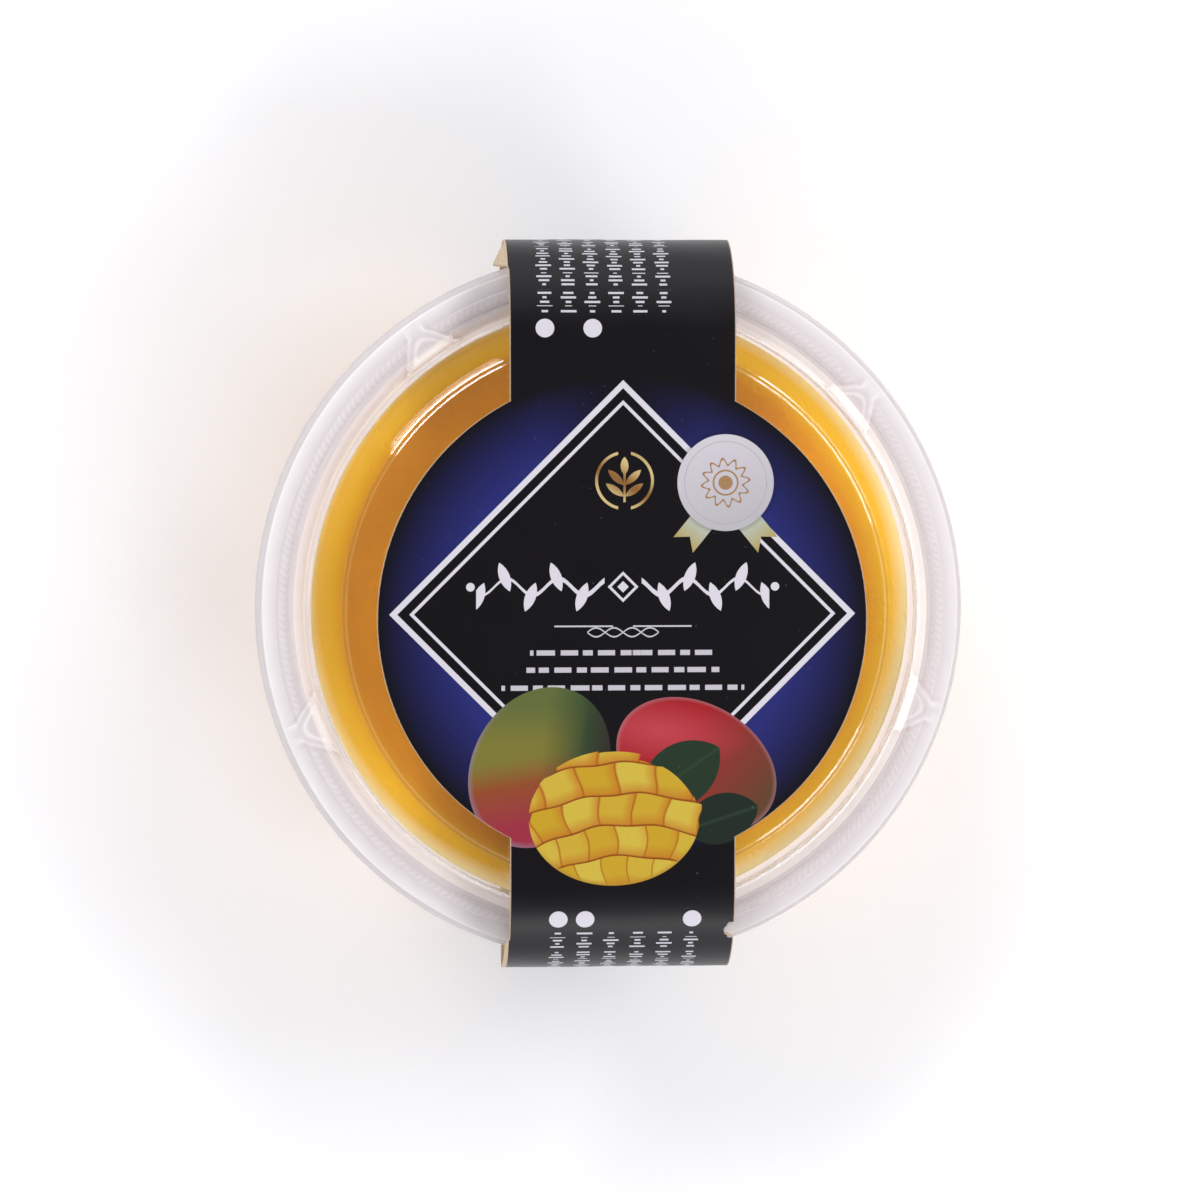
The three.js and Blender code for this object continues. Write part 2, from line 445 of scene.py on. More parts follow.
def clear_plastic(name, tint, milk, bend, haze, dull_from, dull_to, shaded=False):
    """Thin clear plastic: glass with a share of milk in it, which bends light by its index, under a
    bright skin that is duller between two distances from the axis. Lamps shine through it. Where it is
    shaded, a painted highlight makes it whiter on raised edges and a painted shade makes it browner in
    hollows, as a point attribute of the sheet gives."""
    material, tree, shader, output = new_material(name)
    place = object_place(tree)
    shader.inputs["Base Color"].default_value = tint
    if shaded:
        # Painted highlight and shade: the tint is pulled towards white where the attribute is above 0, and
        # towards brown where it is below 0.
        painted_light = tree.nodes.new("ShaderNodeAttribute")
        painted_light.attribute_name = "painted_light"
        level = Field(tree, painted_light.outputs["Fac"])
        paint = Paint(tree, tint).over(PAINTED_HIGHLIGHT, level.rise(0.0, 1.0))
        paint.over(PAINTED_HOLLOW_SHADE, level.rise(0.0, -1.0))
        tree.links.new(paint.colour, shader.inputs["Base Color"])
    shader.inputs["Transmission Weight"].default_value = 1.0 - milk
    shader.inputs["IOR"].default_value = bend
    shader.inputs["Coat IOR"].default_value = 1.9
    shader.inputs["Coat Roughness"].default_value = 0.02
    x, y, _ = apart(tree, place)
    out = distance(x, y, 0, 0) / MM
    dull = (abs(out - (dull_from + dull_to) / 2) - (dull_to - dull_from) / 2).rise(0.3, 0.0)
    tree.links.new(dull.times_plus(-0.9, 1.0).socket, shader.inputs["Coat Weight"])
    skin = tree.nodes.new("ShaderNodeGroup")
    skin.node_tree = SKIN
    skin.inputs["Haze"].default_value = haze
    tree.links.new(place, skin.inputs["Vector"])
    tree.links.new(skin.outputs["Roughness"], shader.inputs["Roughness"])
    if not shaded:
        bump(tree, skin.outputs["Height"], 0.1, 0.0003, shader)
    clear = tree.nodes.new("ShaderNodeBsdfTransparent")
    clear.inputs["Color"].default_value = (0.94, 0.94, 0.945, 1)
    path = tree.nodes.new("ShaderNodeLightPath")
    mix = tree.nodes.new("ShaderNodeMixShader")
    tree.links.new(path.outputs["Is Shadow Ray"], mix.inputs[0])
    tree.links.new(shader.outputs[0], mix.inputs[1])
    tree.links.new(clear.outputs[0], mix.inputs[2])
    tree.links.new(mix.outputs[0], output.inputs["Surface"])
    return material


# ---------------------------------------------------------------- lid

PANEL_RADIUS, PANEL_Z = 35.8, 51.35
BEAD_RISE, BEAD_INNER, BEAD_OUTER = 0.35, 37.3, 37.7
STEP_WIDTH, STEP_DROP = 0.22, 0.11
SECOND_STEP, SECOND_DROP = 38.35, 1.3 * STEP_DROP
CROWN_CORNER, CROWN_FILLET = (43.01, 49.45), 4.5
CROWN_EDGE, WALL_RADIUS = 42.75, 43.6
FINER_FROM = CROWN_EDGE - 0.4
GROOVE_INNER, GROOVE_OUTER, GROOVE_Z = 43.9, 44.2, 41.6
FLANGE_FROM, FLANGE_Z = 45.0, 42.5
RIB_INNER, RIB_OUTER, RIB_LIFT = 45.5, 47.5, 0.25
RIB_DEPTH, RIB_SLANT, RIB_FADE = 0.03, 4.5, 0.3
FINE_RELIEF_FROM, FINE_RELIEF_TO = RIB_INNER - 0.7, 48.9
SKIRT_RADIUS, WAIST_RADIUS = 49.8, 49.35
LIP_Z = lid_low[2]
LUG_INNER, LUG_TIP, LUG_HALF, LUG_HEIGHT = 43.25, 48.4, 3.4, 0.5
LUG_ROUNDING = 1.5
LUG_EDGE, LUG_FLOOR = 0.6, 0.3
# Thin lines round the flange, of painted highlight, or of painted shade below 0: radius, width, and how
# much whiter than the sheet, or browner below 0.
PAINTED_RING_LINES = (
    (43.5, 0.14, 0.9),
    (44.75, 0.18, 0.5),
    (46.95, 0.3, 0.12),
    (49.35, 0.18, 0.8),
    (50.0, 0.25, -0.35),
)
# A dotted line of painted shade along the ribbed band: its radius, its width, and how much browner it is,
# below 0.
KNURLED_LINE, KNURLED_WIDTH, KNURLED_PAINTED_SHADE = 46.05, 0.18, -0.6
# Painted shade that changes slowly round the axis: the angle it is strongest at, and how strong it is on
# the groove and on the flange.
PAINTED_SHADE_TOWARDS, GROOVE_PAINTED_SHADE, FLANGE_PAINTED_SHADE = 150, 0.36, -0.1
LUG_ANGLES = (40, 125.5, 201.5, 270, 342)


def lid_outline(steps, small_steps):
    """The lid's upper face from the middle of its panel, over the bead's two small steps, down a gentle
    slope and round a wide shoulder to the groove, and on over the flange to its lip."""
    return filled_in(rounded([
        (0, PANEL_Z, 0),
        (PANEL_RADIUS, PANEL_Z, 2.0),
        (BEAD_INNER, PANEL_Z + BEAD_RISE, 1.0),
        (BEAD_OUTER, PANEL_Z + BEAD_RISE, 0.3),
        (BEAD_OUTER + STEP_WIDTH, PANEL_Z + BEAD_RISE - STEP_DROP, 0.3),
        (SECOND_STEP, PANEL_Z + BEAD_RISE - SECOND_DROP, 0.3),
        (*CROWN_CORNER, CROWN_FILLET),
        (WALL_RADIUS, GROOVE_Z + 0.3, 0.25),
        (GROOVE_INNER, GROOVE_Z, 0.15),
        (GROOVE_OUTER, GROOVE_Z, 0.15),
        (FLANGE_FROM, FLANGE_Z, 0.2),
        (RIB_INNER, FLANGE_Z, 0.1),
        (RIB_INNER + RIB_LIFT, FLANGE_Z + RIB_LIFT, 0.1),
        (RIB_OUTER - RIB_LIFT, FLANGE_Z + RIB_LIFT, 0.1),
        (RIB_OUTER, FLANGE_Z, 0.1),
        (SKIRT_RADIUS, FLANGE_Z, 0.6),
        (SKIRT_RADIUS, LIP_Z + 1.9, 0.3),
        (WAIST_RADIUS, LIP_Z + 1.3, 0.25),
        (MOUTH_RADIUS, LIP_Z + 0.6, 0.2),
        (MOUTH_RADIUS, LIP_Z, 0),
    ], steps, small_steps), 4.0)


def lug_depth(radius, angle):
    """How far inside the nearest lug a point is, below 0 outside them all. A lug is a triangle that
    points outwards, with its tip rounded as a hyperbola and its inner edge straight."""
    depth = np.full_like(radius, -9.0)
    side = np.array([LUG_HALF, LUG_TIP - LUG_INNER]) / math.hypot(LUG_HALF, LUG_TIP - LUG_INNER)
    for degrees in LUG_ANGLES:
        turn = angle - math.radians(degrees)
        along = LUG_TIP - radius * np.cos(turn)
        aside = np.hypot(radius * np.sin(turn), LUG_ROUNDING) - LUG_ROUNDING
        sides = along * side[0] - aside * side[1]
        depth = np.maximum(depth, np.minimum(sides, LUG_TIP - LUG_INNER - along))
    return depth


def middle_of(points, faces):
    """Distance of the middle of each face from the axis."""
    middle = points[faces].mean(axis=1)
    return np.hypot(middle[:, 0], middle[:, 1])


def peak(value, middle, width):
    """A soft peak of height 1."""
    return np.exp(-(((value - middle) / width) ** 2))


def flange_painted_light(radius, angle):
    """The painted light of the lid's flange, standing in for how it catches the light: above 0, a painted
    highlight on thin raised lines, round the lugs and along the ribs, and below 0, a painted shade in the
    hollows beside them. It also changes slowly round the axis, a painted shade that makes the groove
    greyer at the upper left, and the flange a little greyer on the side away from it."""
    depth = lug_depth(radius, angle)
    rib = np.cos(RIBS * angle + RIB_SLANT * (radius - RIB_INNER))
    # Painted highlight and shade that alternate from rib to rib.
    painted_light = 0.15 * rib * smooth_step(45.9, 46.3, radius) * smooth_step(47.4, 46.9, radius)
    painted_light += KNURLED_PAINTED_SHADE * (0.65 + 0.35 * rib) * peak(radius, KNURLED_LINE, KNURLED_WIDTH)
    for middle, width, level in PAINTED_RING_LINES:
        painted_light += level * peak(radius, middle, width)
    painted_light *= smooth_step(0.1, -0.1, depth)
    # Painted highlight along each lug's raised edge and round its lower floor, and painted shade just
    # outside the edge.
    painted_light += 0.5 * peak(depth, 0.15, 0.14) - 0.25 * peak(depth, -0.25, 0.2) + 0.6 * peak(depth, 1.0, 0.16)
    # Painted shade: greyer towards one side round the axis.
    painted_shade = np.where(radius < FLANGE_FROM, GROOVE_PAINTED_SHADE, FLANGE_PAINTED_SHADE)
    return painted_light - painted_shade * np.cos(angle - math.radians(PAINTED_SHADE_TOWARDS))


def lid_piece(clear, groove, rim):
    """The lid as one formed sheet: its upper outline turned round the axis and closed along the same
    outline moved inwards by the wall. The lugs are pressed up with a raised edge round a lower floor, and
    fine slanting ribs cross the raised band. The wall and the groove are one milky material, and the
    flange and the skirt another."""
    above = lid_outline(7, 2)
    on_flange = (above[:, 0] > FINE_RELIEF_FROM) & (above[:, 0] < FINE_RELIEF_TO)
    flange = filled_in(above[on_flange], 0.25)
    first = np.argmax(on_flange)
    above = np.vstack([above[:first], flange, above[first + on_flange.sum():]])
    below = sideways(lid_outline(5, 1), -LID_WALL)[::-1]
    path = np.vstack([above, below])
    on_wall = (above[:, 0] > FINER_FROM) & (above[:, 0] < FLANGE_FROM)
    finer = np.ones(len(path), int)
    finer[:len(above)][on_wall] = 2
    finer[first:first + len(flange)] = 4

    def formed(radius, height, angle, ring):
        upper = ring < len(above)
        depth = lug_depth(radius, angle)
        lug = smooth_step(0, LUG_EDGE, depth)
        hollow = smooth_step(LUG_EDGE, 2 * LUG_EDGE, depth) * (1 - LUG_FLOOR)
        floor = np.where(upper, FLANGE_Z, FLANGE_Z - LID_WALL)
        raised = np.maximum(height, floor + LUG_HEIGHT * lug * (1 - hollow))
        height = np.where((radius > LUG_INNER) & (lug > 0), raised, height)
        across = smooth_step(RIB_INNER, RIB_INNER + RIB_FADE, radius)
        across = across * smooth_step(RIB_OUTER, RIB_OUTER - RIB_FADE, radius)
        slant = RIB_SLANT * (radius - RIB_INNER)
        return height + upper * RIB_DEPTH * across * (1 - lug) * np.cos(RIBS * angle + slant)

    points, faces = turned(path, ring_counts(path, finer), formed)
    # Painted highlight and shade for the flange, kept on the points as an attribute.
    painted_light = flange_painted_light(np.hypot(points[:, 0], points[:, 1]), np.arctan2(points[:, 1], points[:, 0]))
    radius = middle_of(points, faces)
    which = 1 * (radius > CROWN_EDGE) + (radius > FLANGE_FROM)
    return make_piece("lid_shell", points, faces, [clear, groove, rim], "lid", which,
                      attributes={"painted_light": painted_light})


# ---------------------------------------------------------------- cup and pudding

FOOT_Z = cup_low[2]
PUNT_RADIUS, PUNT_Z = 26.5, FOOT_Z + 2.6
FOOT_INNER = 28.3
FOOT_CORNER = 5.0
WALL_FOOT = 35.77
SHOULDER = (44.1, 37.4)
SHOULDER_RISE = 0.9
NECK_RADIUS, NECK_DRAFT = 45.75, 0.15
MILKY_FROM = 44.3
CUP_FLANGE_Z = 41.0
CUP_FLANGE_RADIUS = 49.0
PUDDING_RINGS = 44
CREEP_WIDTH, CREEP_HEIGHT = 1.6, 0.35
RIPPLE_HEIGHT = 0.07


def cup_outline():
    """The cup's outer face from the middle of its base to the edge of its flange."""
    return rounded([
        (0, PUNT_Z, 0),
        (PUNT_RADIUS, PUNT_Z, 0.9),
        (FOOT_INNER, FOOT_Z, 0.5),
        (WALL_FOOT, FOOT_Z, FOOT_CORNER),
        (*SHOULDER, 0.5),
        (NECK_RADIUS - NECK_DRAFT, SHOULDER[1] + SHOULDER_RISE, 0.3),
        (NECK_RADIUS, CUP_FLANGE_Z, 0.6),
        (CUP_FLANGE_RADIUS, CUP_FLANGE_Z, 0),
    ], steps=8)


def cup_piece(clear, milky):
    """The cup: its outer outline moved inwards by the wall, turned, and closed along the outline. Its
    neck and flange are the milkier material."""
    outside = filled_in(cup_outline(), 2.5)
    inside = sideways(outside, CUP_WALL)
    path = np.vstack([inside, outside[::-1]])
    points, faces = turned(path, ring_counts(path))
    radius = middle_of(points, faces)
    # The cup has none of the painted highlight and shade: its attribute is 0 everywhere.
    return make_piece("cup_shell", points, faces, [clear, milky], "cup",
                      radius > MILKY_FROM, attributes={"painted_light": np.zeros(len(points))})


def pudding_piece(material):
    """The pudding: the cup's inner shape carried a little way into its wall, up to the fill level, with
    a gently uneven top that creeps up where it meets the wall."""
    cast = sideways(filled_in(cup_outline(), 1.5), CUP_WALL - PUDDING_INTO_WALL)
    side = cast[cast[:, 1] < FILL_Z]
    edge = np.interp(FILL_Z, cast[:, 1][len(side) - 1:], cast[:, 0][len(side) - 1:])
    top = np.c_[np.linspace(0, edge, PUDDING_RINGS), np.full(PUDDING_RINGS, FILL_Z - CREEP_HEIGHT)]
    path = np.vstack([top, side[::-1]])

    def settled(radius, height, angle, ring):
        x, y = radius * np.cos(angle), radius * np.sin(angle)
        ripple = np.sin(0.21 * x + 0.6) * np.sin(0.17 * y - 0.4) + 0.4 * np.sin(0.5 * x - 0.33 * y)
        creep = CREEP_HEIGHT * smooth_step(edge - CREEP_WIDTH, edge, radius)
        return height + (ring < len(top)) * (RIPPLE_HEIGHT * ripple * (radius < edge - 0.1) + creep)

    points, faces = turned(path, ring_counts(path), settled)
    return make_piece("pudding_body", points, faces, [material], "pudding")


def pudding_material():
    """Set mango pudding: warm yellow flesh, with a painted shade, deeper orange, in the middle and a
    painted light, yellower, round it, and a painted glow that turns it paler towards the wall, sooner to
    the right and front; with soft clouds of deeper colour, fine fibres and pinhead bubbles, and a wet
    skin."""
    material, tree, shader, _ = new_material("mango_pudding")
    place = object_place(tree)
    cloud = Field(tree, texture(tree, "ShaderNodeTexNoise", place, 45, Detail=4.0).outputs["Fac"])
    fleck = Field(tree, texture(tree, "ShaderNodeTexNoise", place, 900, Detail=2.0).outputs["Fac"])
    x, y, _ = apart(tree, place)
    out = distance(x, y, 0, 0) / MM + cloud * 0.4
    pale = distance(x, y, -0.4 * MM, 0.7 * MM) / MM + cloud * 0.6
    paint = Paint(tree, srgb(234, 155, 17))
    paint.over(srgb(225, 143, 11), cloud.rise(0.4, 0.7))
    # Painted shade and light: the deeper orange middle stands for the card's shade, and this yellower ring
    # round it for the light that comes through the lid's slope.
    paint.over(srgb(242, 186, 22), out.rise(37.2, 40.0))
    # Painted light: a pale glow towards the wall, centred a little off the axis so that it starts sooner
    # to the right and front.
    paint.over(srgb(253, 232, 164), pale.rise(41.5, 43.8))
    paint.over(srgb(244, 176, 40), fleck.rise(0.62, 0.75) * 0.2)
    tree.links.new(paint.colour, shader.inputs["Base Color"])
    tree.links.new(cloud.times_plus(0.15, 0.4).socket, shader.inputs["Roughness"])
    shader.inputs["Specular IOR Level"].default_value = 0.3
    shader.inputs["Coat Weight"].default_value = 0.25
    shader.inputs["Coat Roughness"].default_value = 0.08
    bubble = texture(tree, "ShaderNodeTexVoronoi", place, 700)
    pits = Field(tree, bubble.outputs["Distance"]).rise(0.12, 0.3)
    bump(tree, (pits * 0.3 + cloud + fleck * 0.2).socket, 0.3, 0.0004, shader)
    return material


# ---------------------------------------------------------------- sleeve: shape

BACK_REACH, FRONT_REACH = 39.0, 38.0
LOWER_BEND = (31.8, 5.75)
LAP_HALF = 13.0
TORN_END, TORN_TAPER_END, TORN_TAPER = 50.2, 57.0, 6.5
TORN_NARROW, TORN_WIDER = 0.25, 1.95
NICK_DEPTH = 1.2
CARD_COLUMNS = 48


def side_path(reach, outermost, step=0.4):
    """The card's outer face down one side, as distance from the axis, height and the angle of its
    normal: an arc over the rim, the common tangent, and an arc round the foot."""
    upper_radius = outermost - reach
    upper = np.array([reach, CARD_TOP_Z - upper_radius])
    lower = np.array(LOWER_BEND)
    lower_radius = lower[1]
    between = upper - lower
    span = np.linalg.norm(between)
    towards = math.atan2(between[1], between[0])
    tangent = towards - math.acos((lower_radius - upper_radius) / span)
    rows = []
    for centre, radius, start, end in (
        (upper, upper_radius, math.pi / 2, tangent),
        (lower, lower_radius, tangent, -math.pi / 2),
    ):
        steps = math.ceil(radius * (start - end) / step)
        angle = np.linspace(start, end, steps + 1)
        rows.append(np.c_[centre[0] + radius * np.cos(angle), centre[1] + radius * np.sin(angle), angle])
    a, b = rows[0][-1], rows[1][0]
    steps = math.ceil(math.dist(a[:2], b[:2]) / 1.5)
    straight = a + (b - a) * (np.arange(1, steps) / steps)[:, None]
    return np.vstack([rows[0], straight, rows[1]])


def card_path():
    """The whole strip of card, from its hidden lap beneath the cup, up the back, over the top, down the
    front and under again to its outer end. Rows are y, z, the angle of the normal, and the distance
    along the card from the middle of the disc, which is positive towards the back."""
    back = side_path(BACK_REACH, STRAP_BACK)
    front = side_path(FRONT_REACH, STRAP_FRONT)
    front[:, 0] *= -1
    front[:, 2] = math.pi - front[:, 2]
    meeting = math.acos(STRAP_HALF / DISC_RADIUS)
    disc = SLIP_Y + DISC_RADIUS * np.sin(np.linspace(meeting, -meeting, 97))
    strap = np.linspace(BACK_REACH, disc[0], 18)[1:-1]
    strap_front = np.linspace(disc[-1], -FRONT_REACH, 18)[1:-1]
    y = np.concatenate([strap, disc, strap_front])
    top = np.c_[y, np.full_like(y, CARD_TOP_Z), np.full_like(y, math.pi / 2)]
    lap = np.linspace(-LAP_HALF, LAP_HALF + 0.4, 28)
    rise = np.linspace(LAP_HALF + 0.6, LAP_HALF + 3.0, 7)
    run_in = np.linspace(LAP_HALF + 4, LOWER_BEND[0] - 1, 12)
    inner_y = np.concatenate([lap, rise, run_in])
    inner_z = (CARD + 0.03) * smooth_step(LAP_HALF + 3.0, LAP_HALF + 0.5, inner_y)
    inner = np.c_[inner_y, inner_z, np.full_like(inner_y, -math.pi / 2)]
    outer_y = np.linspace(-LOWER_BEND[0] + 1, LAP_HALF, 34)
    outer = np.c_[outer_y, np.zeros_like(outer_y), np.full_like(outer_y, 1.5 * math.pi)]
    path = np.vstack([inner, back[::-1], top, front, outer])
    steps = np.linalg.norm(np.diff(path[:, :2], axis=0), axis=1)
    run = np.concatenate([[0], np.cumsum(steps)])
    centre = np.interp(-SLIP_Y, -path[:, 0][len(inner) + len(back):len(path) - len(outer) - len(front)],
                       run[len(inner) + len(back):len(path) - len(outer) - len(front)])
    return np.c_[path, centre - run]


def left_margin(along):
    """Width of the bare card that stands out past the print on the left, where the strap goes over the
    rim: a ragged torn end on top, and less of it down the side."""
    ragged = 0.25 * np.sin(9.1 * along) + 0.15 * np.sin(23.0 * along + 1.0)
    wide = TORN_NARROW + TORN_WIDER * np.clip((TORN_TAPER_END - along) / TORN_TAPER, 0, 1)
    back = smooth_step(TORN_END, TORN_END + 0.5, along + ragged) * wide
    back *= smooth_step(84, 66, along)
    front = smooth_step(-45.6, -47.0, along - ragged) * smooth_step(-72, -56, along) * 0.6
    return back + front


def right_nick(along):
    """Depth of the torn nick in the right edge of the front strap."""
    return NICK_DEPTH * smooth_step(-42.9, -43.8, along) * smooth_step(-45.4, -45.0, along)


def sleeve_piece(printed, board):
    """The sleeve: a thin rectangle of card carried along its path. Its half-width is the disc's chord on
    top and the strap's elsewhere. The face also bows and ripples by a few hundredths of a millimetre.
    The outer face is printed, and the inner face and the cut edges are bare board. Its points also know
    their place on the flat card, and how far they are from the nearer long edge."""
    path = card_path()
    y, z, angle, along = path.T
    flat = (angle == math.pi / 2) & (np.abs(y - SLIP_Y) < DISC_RADIUS)
    chord = np.sqrt(np.maximum(DISC_RADIUS**2 - (y - SLIP_Y) ** 2, 0)) * flat
    half = np.maximum(chord, STRAP_HALF)
    left = half + left_margin(along)
    right = half - right_nick(along)
    share = np.sin(np.linspace(-0.5, 0.5, CARD_COLUMNS + 1) * math.pi)
    x = np.where(share < 0, share * left[:, None], share * right[:, None])
    bow = 0.1 * np.cos(x * math.pi / 70) * np.exp(-((y[:, None] + 1) / 26) ** 2)
    ripple = 0.05 * np.sin(0.33 * x + 0.21 * along[:, None]) * np.sin(0.27 * along[:, None])
    lift = np.where(z[:, None] > CARD, ripple - 0.06 - bow * 0.6, 0)
    normal = np.c_[np.cos(angle), np.sin(angle)]

    def face(depth):
        moved = lift - depth
        return np.stack([SLIP_X + x, y[:, None] + moved * normal[:, :1],
                         z[:, None] + moved * normal[:, 1:]], axis=2)

    loops = np.concatenate([face(0), face(CARD)[:, ::-1]], axis=1)
    rows, around = loops.shape[:2]
    points = loops.reshape(-1, 3)
    index = np.arange(rows * around).reshape(rows, around)
    following = np.roll(index, -1, axis=1)
    walls = np.stack([index[:-1], following[:-1], following[1:], index[1:]], axis=2).reshape(-1, 4)
    caps = []
    for row, step in ((index[0], -1), (index[-1], 1)):
        outer, inner = row[:CARD_COLUMNS + 1], row[:CARD_COLUMNS:-1]
        cap = np.c_[outer[:-1], outer[1:], inner[1:], inner[:-1]]
        caps.append(cap[:, ::-step])
    faces = np.vstack([walls[:, ::-1], *caps])
    which = np.ones(len(faces), int)
    which[:len(walls)] = np.tile(np.arange(around) >= CARD_COLUMNS, rows - 1)
    mirrored = np.concatenate([x, x[:, ::-1]], axis=1)
    outside = np.concatenate([np.ones_like(x), np.zeros_like(x)], axis=1)
    where = np.stack([mirrored, np.broadcast_to(along[:, None], mirrored.shape), outside], axis=2)
    edge = np.concatenate([(1 - np.abs(share)) * half[:, None]] * 2, axis=1)
    return make_piece("sleeve_card", points, faces, [printed, board], "sleeve", which,
                      crease=40, attributes={"card": where.reshape(-1, 3), "edge": edge.ravel()})


# ---------------------------------------------------------------- sleeve: print

WHITE = ink(232, 228, 238)
BLACK = ink(16, 13, 18)
BLUE = ink(44, 47, 122)
BARE_CARD = ink(226, 204, 176)

DIAMOND_HALF, DIAMOND_Y = 32.6, 0.8
OUTER_LINE, INNER_LINE, INNER_GAP = 0.8, 0.45, 2.8


def dashes(along, seed):
    """Above 0 on dashes of uneven length: two waves of unlike pitch added together."""
    return (along * 2.3 + seed).sine() + (along * 3.7 + seed * 2.1).sine() * 0.8 + 0.75


def print_ground(tree, x, y):
    """Black, with deep blue between the diamond and the disc's edge, darkest near the straps."""
    paint = Paint(tree, BLACK)
    diamond = abs(x) + abs(y - DIAMOND_Y) - DIAMOND_HALF
    from_middle = distance(x, y, 0, 0)
    glow = diamond.rise(0, 0.1) * from_middle.rise(34.0, 24.0) * abs(x).rise(1.0, 12.0)
    paint.over(BLUE, glow)
    return paint, diamond


def print_frame(paint, diamond):
    """The two white lines of the diamond."""
    slant = diamond * math.sqrt(0.5)
    paint.over(WHITE, band(slant, -OUTER_LINE / 2, OUTER_LINE).inside())
    inner = band(slant, -INNER_GAP * math.sqrt(0.5) - INNER_LINE / 2, INNER_LINE)
    paint.over(WHITE, inner.inside())


def print_scroll(paint, x, y):
    """A white vine across the middle: a waving stem, leaves in its bends, and a lozenge."""
    ax = abs(x)
    centre, pitch = 4.6, 7.2
    stem = abs(y - centre - (ax * (2 * math.pi / pitch)).sine() * 1.15) - ax.rise(24, 0) * 0.3 - 0.12
    stem = stem.most(ax - 20.5).most(2.6 - ax)
    cell = ((ax / pitch).part() - 0.25) * pitch
    upper = leaf(cell, y, (-0.4, centre - 0.6), (1.1, centre + 3.4), 1.5)
    other = ((ax / pitch + 0.5).part() - 0.25) * pitch
    lower = leaf(other, y, (-0.4, centre + 0.6), (1.1, centre - 3.4), 1.5)
    leaves = upper.least(lower).most(ax - 20.5).most(3.7 - ax)
    lozenge = ax + abs(y - centre) - 1.9
    hollow = band(lozenge, 0, 0.5).least(lozenge + 1.1)
    end = distance(ax, y, 21.3, centre) - 0.6
    paint.over(WHITE, stem.least(leaves).least(hollow).least(end).inside())


def print_rule(paint, x, y):
    """A thin rule with a gap in the middle, and a small flourish of crossing waves beneath it."""
    ax = abs(x)
    rule = (abs(y + 0.9) - 0.11).most(abs(ax - 5.5) - 4.1)
    wave = (ax * 1.25).sine() * 0.62
    flourish = abs(abs(y + 1.75) - abs(wave)) - 0.1
    flourish = flourish.most(ax - 5.0)
    paint.over(WHITE, rule.least(flourish).inside() * 0.85)


def print_lines(paint, x, y):
    """Three rows of slim dashes under the rule."""
    for row, (height, reach) in enumerate(((-4.6, 13.0), (-7.0, 13.5), (-9.5, 17.0))):
        marks = (abs(y - height) - 0.36).most(abs(x) - reach)
        paint.over(WHITE, marks.inside() * dashes(x, 1.7 * row + 0.4).rise(0, 0.15) * 0.8)


def print_emblem(paint, x, y):
    """A gold sprig in a broken ring."""
    cx, cy = 0.2, 19.4
    ring = band(distance(x, y, cx, cy), 3.9, 0.4).most(0.9 - abs(x - cx))
    stem = (abs(x - cx) - 0.16).most(abs(y - cy + 0.4) - 2.6)
    ax = abs(x - cx)
    sprig = stem.least(leaf(ax, y, (0.1, cy - 2.2), (2.6, cy - 0.4), 1.0))
    sprig = sprig.least(leaf(ax, y, (0.1, cy - 0.6), (2.3, cy + 1.5), 1.0))
    sprig = sprig.least(leaf(x, y, (cx, cy + 0.8), (cx, cy + 3.3), 1.1))
    shine = (x * 0.5 + y * 0.9).sine().rise(-1, 1)
    gold = paint.mixed(ink(150, 104, 54), ink(226, 200, 140), shine)
    paint.over(gold, ring.least(sprig).inside())


def print_badge(paint, x, y):
    """A silver disc with a gold rosette, over two notched ribbon ends."""
    cx, cy, radius = 14.35, 19.1, 6.75
    ax, up = abs(x - cx), y - cy
    along = ax * 0.63 - up * 0.777
    across = abs(ax * 0.777 + up * 0.63 + 0.85)
    tails = (across - 1.75).most(along - 9.0 - across * 0.85)
    ribbon = paint.mixed(ink(196, 204, 188), ink(190, 168, 96), along.rise(6.8, 10.4))
    paint.over(ribbon, tails.inside())
    away = distance(x, y, cx, cy)
    paint.over(ink(20, 18, 26), (away - radius - 0.35).inside(0.7) * 0.35)
    silver = paint.mixed(ink(222, 216, 224), ink(200, 196, 202), (up - x * 0.3).rise(2, -10))
    paint.over(silver, (away - radius).inside())
    paint.over(ink(190, 182, 190), band(away, 5.75, 0.14).inside() * 0.8)
    turn = away.maths("ARCTAN2", up, x - cx)
    petals = (turn * 12).sine() * 0.45
    rosette = band(away - petals, 2.9, 0.35).least(away - 1.0).least(band(away, 1.7, 0.25))
    paint.over(ink(176, 138, 96), rosette.inside())


